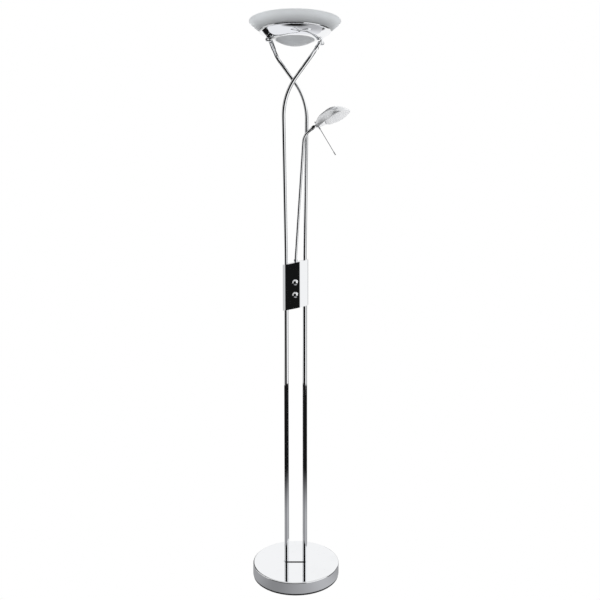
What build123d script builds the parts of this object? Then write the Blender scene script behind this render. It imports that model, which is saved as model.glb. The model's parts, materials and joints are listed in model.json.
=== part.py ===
from build123d import *

import os
from math import cos, hypot, radians, sin, tan

# Floor lamp: weighted foot, two crossing poles, tilting uplighter dish, dimmer box and reading arm.
# Millimetres, +Z up. The origin is the centre of the foot on the floor, and the lamp is seen from -Y.

# Fits
fit = 0.05
gap = 0.3
flat_gap = 0.1

# Foot
foot_diameter = 287.0
foot_height = 42.5
pad_thickness = 6.0
pad_inset = 1.5
cover_wall = 1.2
cover_edge_radius = 4.0
weight_side_gap = 0.5
foot_plate_width = 20.0
foot_plate_thickness = 2.5
nipple_diameter = 10.0
nipple_bore = 7.0
nipple_lift = 2.0
nut_recess_diameter = 30.0
nut_recess_depth = 12.0
washer_diameter = 24.0
washer_thickness = 2.0
nut_across_flats = 17.0
nut_thickness = 5.0
insert_length = 25.0
nipple_reach = 22.0
inlet_height = 16.0
inlet_bore = 7.2
inlet_body_diameter = 12.0
inlet_body_length = 9.0
inlet_flange_diameter = 16.0
inlet_flange_thickness = 2.5
channel_width = 13.0

# Poles
lower_pole_diameter = 15.0
lower_pole_wall = 1.2
lower_pole_reach = 33.0
upper_pole_diameter = 12.0
upper_pole_wall = 1.2
pole_overlap = 50.0
lean_start_rise = 25.5
pole_corner_spread = 37.2
pole_corner_depth = 40.0
pole_corner_drop = 170.0
pole_turn_spread = 57.0
pole_turn_depth = 38.0
pole_turn_drop = 43.0
lean_bend_radius = 500.0
crossing_bend_radius = 200.0
turn_bend_radius = 45.0

# Uplighter pivots
pivot_spread = 77.0
pivot_depth = 22.0
pivot_drop = 4.8
pivot_ball_diameter = 14.0
pivot_flat_offset = 3.5
pivot_neck_length = 9.0
spigot_length = 14.0
sleeve_diameter = 14.0
sleeve_length = 30.0
sleeve_start = 7.8
friction_washer_diameter = 12.0
friction_washer_thickness = 0.8
pivot_screw_diameter = 5.0
pivot_screw_depth = 7.5
pivot_head_diameter = 11.0
pivot_head_height = 5.0
lug_diameter = 13.0
lug_thickness = 5.5
lug_stem_width = 12.0

# Uplighter dish
dish_rim_radius = 145.5
dish_rim_height = 1800.0
glass_ring_height = 29.0
glass_thickness = 4.0
glass_bulge = 1.5
glass_rim_round = 1.5
bowl_wall = 1.5
bowl_edge_radius = 109.0
bowl_depth = 24.2
bowl_corner_radius = 87.0
bowl_corner_rise = 3.8
bowl_bend_radius = 64.0
bowl_opening_radius = 61.2
lip_height = 5.0
lip_width = 5.5
lip_round = 2.0
lens_sag = 17.2
lens_thickness = 3.0
lens_flange_width = 6.0
lens_flange_thickness = 2.5
retainer_thickness = 1.5
retainer_edge = 2.0
stud_diameter = 3.0
stud_nut_across_flats = 5.5
stud_nut_height = 2.4
bracket_stud_angle = 14.0
lamp_bracket_thickness = 1.5
lamp_length = 118.0
lamp_tube_diameter = 11.0
lamp_tube_length = 80.0
lamp_cap_diameter = 7.0
lamp_axis_lift = 10.0
lamp_socket_length = 12.0
lamp_socket_width = 16.0
lamp_socket_height = 17.0
clip_reach = 14.0
clip_width = 12.0
clip_thickness = 2.0
cover_glass_side_gap = 4.5
cover_glass_thickness = 3.0

# Dimmer box
box_width = 82.0
box_front_depth = 26.0
box_back_depth = 18.0
box_front_edge_depth = 9.0
box_back_edge_depth = 12.0
box_wall = 1.8
box_corner_radius = 2.0
box_bottom = 902.0
box_height = 147.5
box_slant = 12.5
bridge_edge = 1.0
bridge_side_gap = 0.45
bridge_depth = 20.0
bridge_corner = 8.0
bridge_thickness = 9.0
lower_bridge_rise = 27.0
upper_bridge_drop = 38.5
set_screw_diameter = 4.0
set_screw_reach = 2.0
cover_screw_spread = 14.0
cover_screw_inset = 15.0
post_diameter = 8.0
cover_screw_diameter = 3.0
cover_screw_reach = 8.0
cover_screw_head_diameter = 6.0
cover_screw_head_height = 2.0
cover_screw_seat = 8.0

# Dimmers
upper_dimmer_rise = 84.4
lower_dimmer_rise = 44.5
knob_diameter = 19.0
knob_skirt = 4.0
knob_dome = 6.0
knob_recess_diameter = 16.0
knob_recess_depth = 2.5
knob_seat_depth = 0.6
dimmer_diameter = 16.0
dimmer_depth = 10.0
dimmer_back_wall = 2.0
dimmer_bush_diameter = 9.0
dimmer_bush_length = 3.0
dimmer_nut_across_flats = 12.0
dimmer_nut_thickness = 2.0
dimmer_shaft_diameter = 6.0
dimmer_shaft_grip = 5.0
board_width = 40.0
board_height = 82.0
board_thickness = 1.6
choke_diameter = 15.0
choke_bore = 6.0
choke_height = 9.0
choke_offset = 9.0
triac_width = 10.0
triac_height = 15.0
triac_depth = 4.5
terminal_length = 30.0
terminal_depth = 9.0
terminal_height = 13.0

# Reading arm
arm_diameter = 9.0
arm_wall = 1.0
arm_lean = 3.8
arm_end_lean = 50.0
arm_rise = 400.1
arm_bend_radius = 50.0
arm_end_run = 42.2
arm_insertion = 31.0
socket_diameter = 14.0
socket_floor = 4.0
socket_clear_of_top = 6.0
thrust_washer_thickness = 1.0
collar_diameter = 13.0
collar_length = 7.0
collar_lift = 2.6

# Reading head
head_drop = 17.5
head_roll = 11.5
swivel_diameter = 11.0
swivel_length = 6.0
swivel_stub = 12.0
swivel_spigot_length = 8.0
tongue_thickness = 5.0
tongue_radius = 4.0
ear_thickness = 2.5
ear_radius = 4.5
tilt_pin_diameter = 3.6
tilt_pin_head_diameter = 6.0
tilt_pin_head_height = 1.4
mount_end = 24.0
mount_bottom = -0.2
mount_top = 4.0
shade_wall = 1.2
shade_opening_start = 39.0
shade_tip_wall = 1.5
shade_ledge = 0.8
lens_bulge_share = 0.33
lens_end_slope = 48.0
lamp_holder_diameter = 13.0
lamp_holder_length = 16.0
lamp_holder_lift = 9.0
bulb_diameter = 12.0
bulb_length = 38.0
neck_screw_diameter = 3.0
neck_screw_head_diameter = 5.6
neck_screw_head_height = 2.2
neck_screw_place = (10.0, 12.0)
neck_screw_target = (19.0, 2.5)
handle_place = 14.0
handle_lean = 8.0
handle_diameter = 3.0
handle_length = 110.0
handle_insertion = 3.0
handle_root_diameter = 5.5
handle_root_length = 7.0
handle_root_start = 7.6
handle_tip_diameter = 4.4
handle_tip_length = 10.0

# Cross sections of the leaf shaped shade: place along it, half width, top and bottom.
shade_stations = [
    (6.5, 6.3, 8.8, -6.5),
    (16.4, 9.5, 17.4, -6.2),
    (34.8, 17.9, 29.0, -2.8),
    (56.0, 30.9, 34.4, -0.6),
    (77.3, 42.0, 34.8, 0.0),
    (94.7, 41.5, 28.5, 0.0),
    (108.2, 31.9, 19.8, 0.0),
    (117.9, 18.4, 11.1, 0.0),
    (124.1, 5.8, 4.4, 0.0),
]

# Worked out from the sizes above
foot_radius = foot_diameter / 2
bridge_width = box_width - 2 * (box_wall + bridge_side_gap)
pole_spacing = bridge_width - 2 * bridge_edge - lower_pole_diameter
pole_half = pole_spacing / 2
box_top = box_bottom + box_height
lip_top = dish_rim_height - glass_ring_height
bowl_edge_height = lip_top - lip_height / 2
bowl_opening_height = bowl_edge_height - bowl_depth
bowl_corner_height = bowl_opening_height + bowl_corner_rise
pivot_height = bowl_opening_height - pivot_drop
pole_corner_height = pivot_height - pole_corner_drop
lean_start_height = box_top + lean_start_rise
plate_top = foot_height + foot_plate_thickness
lower_bridge_height = box_bottom + lower_bridge_rise
upper_bridge_height = box_top - upper_bridge_drop
lower_pole_top = lower_bridge_height + bridge_thickness + lower_pole_reach
dimmer_heights = {"upper": box_bottom + upper_dimmer_rise, "lower": box_bottom + lower_dimmer_rise}
board_centre_height = (dimmer_heights["upper"] + dimmer_heights["lower"]) / 2
recess_ceiling = pad_thickness + nut_recess_depth
pole_places = [(-pole_half, 0.0), (pole_half, 0.0)]
pivot_radius = hypot(pivot_spread, pivot_depth)
pivot_direction = Vector(pivot_spread, pivot_depth, 0) / pivot_radius
right_pivot = Vector(pivot_spread, pivot_depth, pivot_height)
pole_corner = Vector(-pole_corner_spread, -pole_corner_depth, pole_corner_height)
pole_turn = Vector(pole_turn_spread, -pole_turn_depth, pivot_height - pole_turn_drop)
pole_end_direction = (right_pivot - pole_turn).normalized()
slant = tan(radians(box_slant))
arm_direction = Vector(sin(radians(arm_lean)), 0, cos(radians(arm_lean)))
arm_end_direction = Vector(sin(radians(arm_end_lean)), 0, cos(radians(arm_end_lean)))
arm_foot = Vector(0, 0, box_top)
arm_corner = arm_foot + arm_direction * (arm_rise / arm_direction.Z)
head_pivot = arm_corner + arm_end_direction * arm_end_run
tilt_axis = Vector(0, 1, 0).rotate(Axis((0, 0, 0), arm_end_direction), -head_roll)
head_direction = arm_end_direction.rotate(Axis((0, 0, 0), tilt_axis), head_drop)
swivel_frame = Plane(head_pivot, x_dir=arm_end_direction, z_dir=arm_end_direction.cross(tilt_axis))
head_frame = Plane(head_pivot, x_dir=head_direction, z_dir=head_direction.cross(tilt_axis))
turned_half = Location((0, 0, 0), (0, 0, 180))


def rod(start, end, radius):
    """Solid cylinder from one point to another."""
    start = Vector(*start)
    end = Vector(*end)
    along = Plane(start, z_dir=end - start)
    return along * Cylinder(radius, (end - start).length, align=(Align.CENTER, Align.CENTER, Align.MIN))


def upright(radius, bottom, top, x=0.0, y=0.0):
    """Solid cylinder standing between two heights."""
    return rod((x, y, bottom), (x, y, top), radius)


def ring(outer, inner, bottom, top, x=0.0, y=0.0):
    """Upright tube between two heights."""
    return upright(outer, bottom, top, x, y) - upright(inner, bottom - 1, top + 1, x, y)


def block(low, high):
    """Box between two corners."""
    size = Vector(*high) - Vector(*low)
    middle = (Vector(*high) + Vector(*low)) / 2
    return Pos(middle) * Box(size.X, size.Y, size.Z)


def hex_prism(across_flats, bottom, top, x=0.0, y=0.0):
    """Upright hexagonal prism between two heights."""
    outline = RegularPolygon(across_flats / 2, 6, major_radius=False)
    return Pos(x, y, bottom) * extrude(outline, top - bottom)


def turned(outline):
    """Solid of revolution about Z of a closed outline drawn as radius and height."""
    return revolve(Plane.XZ * make_face(outline), Axis.Z)


def swept(path, radius):
    """Round bar along a path."""
    return sweep(Plane(path @ 0, z_dir=path % 0) * Circle(radius), path=path)


def group(solids):
    """Several separate solids in one node."""
    return Compound([solid for piece in solids for solid in piece.solids()])


def make_foot():
    """Chrome cover over a heavy core, on a black pad, with the fixings of both poles."""
    core_top = foot_height - cover_wall
    core_radius = foot_radius - cover_wall - weight_side_gap
    nipple_radius = nipple_diameter / 2
    nipple_bottom = pad_thickness + nipple_lift
    nipple_top = plate_top + nipple_reach
    nipple_holes = [upright(nipple_radius + fit, 0, plate_top + 1, x, y) for x, y in pole_places]
    inlet_radius = inlet_body_diameter / 2
    inlet_middle = Vector(0, 0, inlet_height)
    inlet_face = inlet_middle + Vector(0, foot_radius, 0)
    inlet_root = inlet_face - Vector(0, inlet_body_length, 0)
    inlet_end = inlet_face + Vector(0, inlet_flange_thickness, 0)
    inlet_hole = rod(inlet_middle, inlet_end, inlet_radius + fit)

    cover = upright(foot_radius, pad_thickness, foot_height)
    cover = fillet(cover.edges().group_by(Axis.Z)[-1], cover_edge_radius)
    cover -= upright(foot_radius - cover_wall, 0, core_top)
    cover = cover - nipple_holes - inlet_hole

    channel_top = inlet_height + inlet_radius + gap
    half_channel = channel_width / 2
    weight = upright(core_radius, pad_thickness, core_top) - nipple_holes
    weight -= [upright(nut_recess_diameter / 2, 0, recess_ceiling, x, y) for x, y in pole_places]
    weight -= block((-half_channel, -half_channel, 0), (half_channel, foot_radius, channel_top))
    weight -= block((-pole_half, -half_channel, 0), (half_channel, half_channel, channel_top))

    plate = extrude(SlotOverall(pole_spacing + foot_plate_width, foot_plate_width), foot_plate_thickness)
    plate = Pos(0, 0, foot_height) * plate - nipple_holes

    bush = rod(inlet_root, inlet_face, inlet_radius)
    bush += rod(inlet_face, inlet_end, inlet_flange_diameter / 2)
    bush -= rod(inlet_middle, inlet_end + Vector(0, 1, 0), inlet_bore / 2)

    washer_bottom = recess_ceiling - washer_thickness
    nut_bottom = washer_bottom - nut_thickness
    insert_radius = lower_pole_diameter / 2 - lower_pole_wall - fit
    nipples = [ring(nipple_radius, nipple_bore / 2, nipple_bottom, nipple_top, x, y)
               for x, y in pole_places]
    washers = [ring(washer_diameter / 2, nipple_radius + fit, washer_bottom, recess_ceiling, x, y)
               for x, y in pole_places]
    nuts = [hex_prism(nut_across_flats, nut_bottom, washer_bottom, x, y)
            - upright(nipple_radius + fit, 0, recess_ceiling, x, y) for x, y in pole_places]
    inserts = [ring(insert_radius, nipple_radius + fit, plate_top, plate_top + insert_length, x, y)
               for x, y in pole_places]
    return {
        "foot_cover": cover,
        "foot_weight": weight,
        "foot_pad": upright(foot_radius - pad_inset, 0, pad_thickness),
        "pole_foot_plate": plate,
        "cord_inlet_bush": bush,
        "foot_nipples": group(nipples),
        "foot_washers": group(washers),
        "foot_nuts": group(nuts),
        "pole_inserts": group(inserts),
    }


def make_poles():
    """Straight lower tubes and the bent upper tubes that cross below the dish."""
    lower_radius = lower_pole_diameter / 2
    lower = ring(lower_radius, lower_radius - lower_pole_wall, plate_top, lower_pole_top)

    pole_end = right_pivot - pole_end_direction * pivot_neck_length
    path = FilletPolyline(
        (-pole_half, 0, lower_pole_top - pole_overlap),
        (-pole_half, 0, lean_start_height),
        pole_corner,
        pole_turn,
        pole_end,
        radius=[lean_bend_radius, crossing_bend_radius, turn_bend_radius],
    )
    upper_radius = upper_pole_diameter / 2
    upper = swept(path, upper_radius) - swept(path, upper_radius - upper_pole_wall)
    return {
        "lower_pole_left": Pos(-pole_half, 0, 0) * lower,
        "lower_pole_right": Pos(pole_half, 0, 0) * lower,
        "upper_pole_left": upper,
        "upper_pole_right": turned_half * upper,
    }


def make_pivots():
    """Ball ended knuckles on the pole ends, with the screws and washers that the bowl lugs turn on."""
    screw_radius = pivot_screw_diameter / 2
    ball_radius = pivot_ball_diameter / 2
    washer_start = pivot_radius + pivot_flat_offset
    lug_start = washer_start + friction_washer_thickness + flat_gap
    head_start = lug_start + lug_thickness + flat_gap

    def on_axis(distance):
        return pivot_direction * distance + Vector(0, 0, pivot_height)

    hole = rod(on_axis(washer_start - pivot_screw_depth - gap), on_axis(head_start), screw_radius + fit)
    bore_radius = upper_pole_diameter / 2 - upper_pole_wall
    spigot_start = right_pivot - pole_end_direction * (ball_radius / 2)
    spigot_end = right_pivot - pole_end_direction * (pivot_neck_length + spigot_length)
    knuckle = Plane(right_pivot, x_dir=(0, 0, 1), z_dir=pivot_direction) * Sphere(ball_radius)
    knuckle -= rod(on_axis(washer_start), on_axis(washer_start + ball_radius), pivot_ball_diameter)
    knuckle += rod(spigot_end, spigot_start, bore_radius - fit)
    knuckle -= hole

    sleeve_low = right_pivot - pole_end_direction * (sleeve_start + sleeve_length)
    sleeve_high = right_pivot - pole_end_direction * sleeve_start
    sleeve = rod(sleeve_low, sleeve_high, sleeve_diameter / 2)
    sleeve -= rod(sleeve_low - pole_end_direction, sleeve_high + pole_end_direction,
                  upper_pole_diameter / 2 + fit)

    washer = rod(on_axis(washer_start), on_axis(washer_start + friction_washer_thickness),
                 friction_washer_diameter / 2) - hole

    screw = rod(on_axis(washer_start - pivot_screw_depth), on_axis(head_start), screw_radius)
    head_radius = pivot_head_diameter / 2
    head = rod(on_axis(head_start), on_axis(head_start + pivot_head_height), head_radius)
    head = fillet(head.edges().sort_by_distance(on_axis(head_start + 2 * pivot_head_height))[0],
                  0.8 * pivot_head_height)
    screw += head

    lug = rod(on_axis(lug_start), on_axis(lug_start + lug_thickness), lug_diameter / 2)
    stem_frame = Plane(on_axis(lug_start), x_dir=pivot_direction, z_dir=(0, 0, 1))
    stem_height = bowl_edge_height - pivot_height
    lug += stem_frame * block((0, -lug_stem_width / 2, 0), (lug_thickness, lug_stem_width / 2, stem_height))
    lug = lug - bowl_space() - rod(on_axis(0), on_axis(head_start), screw_radius + fit)

    return {
        "pole_knuckle_right": knuckle,
        "pole_knuckle_left": turned_half * knuckle,
        "pole_sleeves": group([sleeve, turned_half * sleeve]),
        "friction_washers": group([washer, turned_half * washer]),
        "pivot_screws": group([screw, turned_half * screw]),
        "bowl_lugs": group([lug, turned_half * lug]),
    }


def bowl_line(drop):
    """Outer line of the bowl from its opening to its upper edge, lowered by an amount."""
    return FilletPolyline(
        (bowl_opening_radius, bowl_opening_height - drop),
        (bowl_corner_radius, bowl_corner_height - drop),
        (bowl_edge_radius, bowl_edge_height - drop),
        radius=bowl_bend_radius,
    )


def bowl_space():
    """Everything that lies above the underside of the bowl."""
    line = bowl_line(fit)
    roof = Polyline(line @ 1, (bowl_edge_radius, dish_rim_height), (bowl_opening_radius, dish_rim_height),
                    line @ 0)
    return turned(line + roof)


def make_uplighter():
    """Chrome bowl with its frosted ring and lens, and the lamp inside it."""
    lip_outer = bowl_edge_radius + lip_width / 2
    lip_inner = lip_outer - lip_width
    line = bowl_line(0)
    inner_line = bowl_line(-bowl_wall)
    bowl = turned(line + Line(line @ 1, inner_line @ 1) + inner_line + Line(inner_line @ 0, line @ 0))
    lip = ring(lip_outer, lip_inner, lip_top - lip_height, lip_top)
    lip_edges = lip.edges().filter_by(GeomType.CIRCLE).filter_by(lambda edge: edge.radius > lip_outer - gap)
    bowl += fillet(lip_edges, lip_round)

    rise = glass_ring_height
    run = dish_rim_radius - bowl_edge_radius
    slope_length = hypot(run, rise)
    foot_point = Vector(bowl_edge_radius, lip_top)
    rim_point = Vector(dish_rim_radius, dish_rim_height)
    middle = (foot_point + rim_point) / 2 + Vector(rise, -run) / slope_length * glass_bulge
    foot_width = glass_thickness * slope_length / rise
    wall_across = Vector(foot_width, 0)
    outer_curve = ThreePointArc(foot_point, middle, rim_point)
    inner_curve = ThreePointArc(rim_point - wall_across, middle - wall_across, foot_point - wall_across)
    glass = turned(outer_curve + Line(outer_curve @ 1, inner_curve @ 0) + inner_curve
                   + Line(inner_curve @ 1, outer_curve @ 0))
    glass = fillet(glass.edges().group_by(Axis.Z)[-1], glass_rim_round)

    floor_slope = (bowl_corner_height - bowl_opening_height) / (bowl_corner_radius - bowl_opening_radius)
    floor_top = bowl_opening_height + bowl_wall

    def floor_height(radius):
        return floor_top + floor_slope * (radius - bowl_opening_radius)

    lens_radius = bowl_opening_radius - gap
    lens_curve = (lens_radius ** 2 + lens_sag ** 2) / (2 * lens_sag)
    lens_centre = bowl_opening_height - lens_sag + lens_curve
    lens_bore = lens_radius - lens_thickness
    flange_radius = bowl_opening_radius + lens_flange_width
    flange_bottom = floor_height(flange_radius) + fit
    flange_top = flange_bottom + lens_flange_thickness
    lens = (Pos(0, 0, lens_centre) * Sphere(lens_curve)) & upright(lens_radius, 0, flange_top)
    lens += ring(flange_radius, lens_bore, flange_bottom, flange_top)
    lens_hollow = Pos(0, 0, lens_centre) * Sphere(lens_curve - lens_thickness)
    lens -= lens_hollow & upright(lens_bore, 0, dish_rim_height)

    stud_radius = stud_diameter / 2
    retainer_top = flange_top + retainer_thickness
    retainer_circle = flange_radius + stud_radius + gap
    retainer_outer = retainer_circle + stud_radius + retainer_edge
    retainer = ring(retainer_outer, lens_bore, flange_top, retainer_top)
    bracket_angles = [middle + side * bracket_stud_angle for middle in (0, 180) for side in (-1, 1)]
    bracket_top = retainer_top + lamp_bracket_thickness
    bracket_half = retainer_circle * cos(radians(bracket_stud_angle)) + stud_radius + retainer_edge
    half_width = retainer_circle * sin(radians(bracket_stud_angle)) + stud_radius + retainer_edge
    bracket = block((-bracket_half, -half_width, retainer_top), (bracket_half, half_width, bracket_top))

    studs = []
    for angles, seat in (((90, 270), retainer_top), (bracket_angles, bracket_top)):
        for angle in angles:
            x = retainer_circle * cos(radians(angle))
            y = retainer_circle * sin(radians(angle))
            stud_bottom = floor_height(retainer_circle) - bowl_wall / 2
            stud = upright(stud_radius, stud_bottom, seat + stud_nut_height, x, y)
            stud += hex_prism(stud_nut_across_flats, seat, seat + stud_nut_height, x, y)
            studs.append(stud - bowl)
            hole = upright(stud_radius + fit, bowl_opening_height, dish_rim_height, x, y)
            retainer -= hole
            bracket -= hole

    half_lamp = lamp_length / 2
    axis_height = bracket_top + lamp_axis_lift
    lamp = rod((-half_lamp, 0, axis_height), (half_lamp, 0, axis_height), lamp_cap_diameter / 2)
    half_tube = lamp_tube_length / 2
    lamp += rod((-half_tube, 0, axis_height), (half_tube, 0, axis_height), lamp_tube_diameter / 2)
    half_socket = lamp_socket_width / 2
    socket = block((half_lamp, -half_socket, bracket_top),
                   (half_lamp + lamp_socket_length, half_socket, bracket_top + lamp_socket_height))

    cover_glass_radius = bowl_edge_radius - foot_width - cover_glass_side_gap
    clip_seat = lip_top - flat_gap
    clip = block((lip_inner - clip_reach, -clip_width / 2, clip_seat - clip_thickness),
                 (lip_inner, clip_width / 2, clip_seat))
    clip = clip & upright(lip_inner - flat_gap, 0, dish_rim_height)
    clips = [Rot(0, 0, angle) * clip for angle in (90, 210, 330)]

    return {
        "uplighter_bowl": bowl,
        "glass_ring": glass,
        "bottom_lens": lens,
        "lens_retainer": retainer,
        "bowl_studs": group(studs),
        "lamp_bracket": bracket,
        "lamp_sockets": group([socket, turned_half * socket]),
        "halogen_lamp": lamp,
        "glass_clips": group(clips),
        "cover_glass": upright(cover_glass_radius, clip_seat, clip_seat + cover_glass_thickness),
    }


def box_outline():
    """Plan of the box: bowed front and back joined by short sides, with rounded corners."""
    half = box_width / 2
    front = ThreePointArc((-half, -box_front_edge_depth), (0, -box_front_depth),
                          (half, -box_front_edge_depth))
    back = ThreePointArc((half, box_back_edge_depth), (0, box_back_depth), (-half, box_back_edge_depth))
    outline = make_face(front + Line(front @ 1, back @ 0) + back + Line(back @ 1, front @ 0))
    return fillet(outline.vertices(), box_corner_radius)


def box_body(outline, bottom, top):
    """Upright body of the box between two slanted ends, given by their heights on the centre line."""
    reach = box_width
    lean = reach * slant
    side = Polyline((-reach, bottom - lean), (reach, bottom + lean), (reach, top + lean),
                    (-reach, top - lean), close=True)
    prism = extrude(Plane.XZ * make_face(side), reach, both=True)
    return extrude(Pos(0, 0, bottom - lean) * outline, top - bottom + 2 * lean) & prism


def make_box():
    """Two part box on the poles, with the bridges that hold the poles together inside it."""
    outline = box_outline()
    solid = box_body(outline, box_bottom, box_top)
    shell = solid - box_body(offset(outline, -box_wall), box_bottom + box_wall, box_top - box_wall)

    post_radius = post_diameter / 2
    screw_radius = cover_screw_diameter / 2
    head_radius = cover_screw_head_diameter / 2
    screws = []
    for x in (-cover_screw_spread, cover_screw_spread):
        for z in (box_bottom + cover_screw_inset, box_top - cover_screw_inset):
            middle = Vector(x, 0, z + x * slant)
            post_front = middle - Vector(0, box_front_depth, 0)
            post_back = middle + Vector(0, box_back_depth, 0)
            screw_tip = middle - Vector(0, cover_screw_reach, 0)
            screw_seat = middle + Vector(0, cover_screw_seat, 0)
            screw_head = screw_seat + Vector(0, cover_screw_head_height, 0)
            shell += rod(post_front, post_back, post_radius) & solid
            shell -= rod(screw_tip - Vector(0, gap, 0), post_back, screw_radius + fit)
            shell -= rod(screw_seat, post_back, head_radius + gap)
            screw = rod(screw_tip, screw_seat, screw_radius)
            screw += rod(screw_seat, screw_head, head_radius)
            screws.append(screw)

    lower_radius = lower_pole_diameter / 2
    upper_radius = upper_pole_diameter / 2
    for x, y in pole_places:
        shell -= upright(lower_radius + gap, 0, lower_pole_top, x, y)
        shell -= upright(upper_radius + gap, lower_pole_top, lean_start_height, x, y)
    shell -= rod(arm_foot - arm_direction * socket_clear_of_top, arm_foot + arm_direction * collar_length,
                 arm_diameter / 2 + 2 * gap)

    wall_face = -(box_front_depth - box_wall)
    seat_face = -(box_front_depth - knob_seat_depth)
    for z in dimmer_heights.values():
        shell -= rod((0, seat_face, z), (0, -box_width, z), knob_recess_diameter / 2)
        shell -= rod((0, wall_face, z), (0, wall_face + dimmer_depth, z), dimmer_diameter / 2 + gap)
        shell -= rod((0, 0, z), (0, -box_width, z), dimmer_bush_diameter / 2 + fit)

    front_half = block((-box_width, -box_width, 0), (box_width, 0, dish_rim_height))
    back_half = block((-box_width, 0, 0), (box_width, box_width, dish_rim_height))

    plan = RectangleRounded(bridge_width, bridge_depth, bridge_corner)
    lower_bridge = Pos(0, 0, lower_bridge_height) * extrude(plan, bridge_thickness)
    upper_bridge = Pos(0, 0, upper_bridge_height) * extrude(plan, bridge_thickness)
    upper_bridge -= rod(arm_foot - arm_direction * 2 * arm_insertion, arm_foot, socket_diameter / 2 + fit)
    screw_end = bridge_depth / 2 + set_screw_reach
    set_radius = set_screw_diameter / 2
    lower_middle = lower_bridge_height + bridge_thickness / 2
    upper_middle = upper_bridge_height + bridge_thickness / 2
    socket_x = (upper_middle - box_top) * tan(radians(arm_lean))
    lower_screws = []
    socket_face = socket_diameter / 2 + fit
    socket_screw = rod((socket_x, socket_face, upper_middle), (socket_x, screw_end, upper_middle), set_radius)
    upper_screws = [socket_screw]
    for x, y in pole_places:
        lower_bridge -= upright(lower_radius + fit, 0, dish_rim_height, x, y)
        upper_bridge -= upright(upper_radius + fit, 0, dish_rim_height, x, y)
        lower_start = (x, lower_radius + fit, lower_middle)
        upper_start = (x, upper_radius + fit, upper_middle)
        lower_screws.append(rod(lower_start, (x, screw_end, lower_middle), set_radius))
        upper_screws.append(rod(upper_start, (x, screw_end, upper_middle), set_radius))
    lower_bridge -= [rod((x, 0, lower_middle), (x, screw_end, lower_middle), set_radius + fit)
                     for x, y in pole_places]
    upper_bridge -= [rod((x, 0, upper_middle), (x, screw_end, upper_middle), set_radius + fit)
                     for x in (-pole_half, socket_x, pole_half)]

    terminal_bottom = lower_bridge_height + bridge_thickness
    terminal = block((-terminal_length / 2, 0, terminal_bottom),
                     (terminal_length / 2, terminal_depth, terminal_bottom + terminal_height))
    return {
        "box_front_cover": shell & front_half,
        "box_back_cover": shell & back_half,
        "cover_screws": group(screws),
        "lower_bridge": lower_bridge,
        "upper_bridge": upper_bridge,
        "bridge_set_screws": group(lower_screws + upper_screws),
        "terminal_block": terminal,
    }


def make_dimmers():
    """Two rotary dimmers on one board, each with its shaft, nut and domed knob."""
    wall_face = -(box_front_depth - box_wall)
    seat_face = -(box_front_depth - knob_seat_depth)
    bush_end = seat_face - dimmer_bush_length
    body_back = wall_face + dimmer_depth
    shaft_root = body_back - dimmer_back_wall
    knob_back = -(box_front_depth + gap)
    recess_end = knob_back - knob_recess_depth
    shaft_tip = recess_end - dimmer_shaft_grip
    skirt_end = knob_back - knob_skirt
    knob_radius = knob_diameter / 2
    dome_curve = (knob_radius ** 2 + knob_dome ** 2) / (2 * knob_dome)
    shaft_radius = dimmer_shaft_diameter / 2
    bush_radius = dimmer_bush_diameter / 2

    bodies = []
    nuts = []
    nodes = {}
    for name, z in dimmer_heights.items():
        body = rod((0, wall_face, z), (0, body_back, z), dimmer_diameter / 2)
        body += rod((0, bush_end, z), (0, wall_face, z), bush_radius)
        bodies.append(body - rod((0, bush_end - 1, z), (0, shaft_root, z), shaft_radius + fit))
        nut = hex_prism(dimmer_nut_across_flats, 0, dimmer_nut_thickness)
        nut = Plane((0, seat_face, z), z_dir=(0, -1, 0)) * nut
        nuts.append(nut - rod((0, 0, z), (0, -box_width, z), bush_radius + fit))
        dome_top = skirt_end - knob_dome
        dome = Pos(0, dome_top + dome_curve, z) * Sphere(dome_curve)
        dome = dome & rod((0, skirt_end, z), (0, -box_width, z), knob_radius)
        knob = rod((0, knob_back, z), (0, skirt_end, z), knob_radius) + dome
        knob -= rod((0, 0, z), (0, recess_end, z), knob_recess_diameter / 2)
        knob -= rod((0, 0, z), (0, shaft_tip - gap, z), shaft_radius + fit)
        nodes[f"dimmer_knob_{name}"] = knob
        nodes[f"dimmer_shaft_{name}"] = rod((0, shaft_root - gap, z), (0, shaft_tip, z), shaft_radius)

    board_back = body_back + board_thickness
    half_board = board_height / 2
    board = block((-board_width / 2, body_back, board_centre_height - half_board),
                  (board_width / 2, board_back, board_centre_height + half_board))
    choke_end = board_back + choke_height
    chokes = [rod((-choke_offset, board_back, z), (-choke_offset, choke_end, z), choke_diameter / 2)
              - rod((-choke_offset, board_back - 1, z), (-choke_offset, choke_end + 1, z), choke_bore / 2)
              for z in dimmer_heights.values()]
    triacs = [block((choke_offset - triac_width / 2, board_back, z - triac_height / 2),
                    (choke_offset + triac_width / 2, board_back + triac_depth, z + triac_height / 2))
              for z in dimmer_heights.values()]
    nodes["dimmer_bodies"] = group(bodies)
    nodes["dimmer_nuts"] = group(nuts)
    nodes["dimmer_board"] = board
    nodes["dimmer_chokes"] = group(chokes)
    nodes["dimmer_triacs"] = group(triacs)
    return nodes


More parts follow.
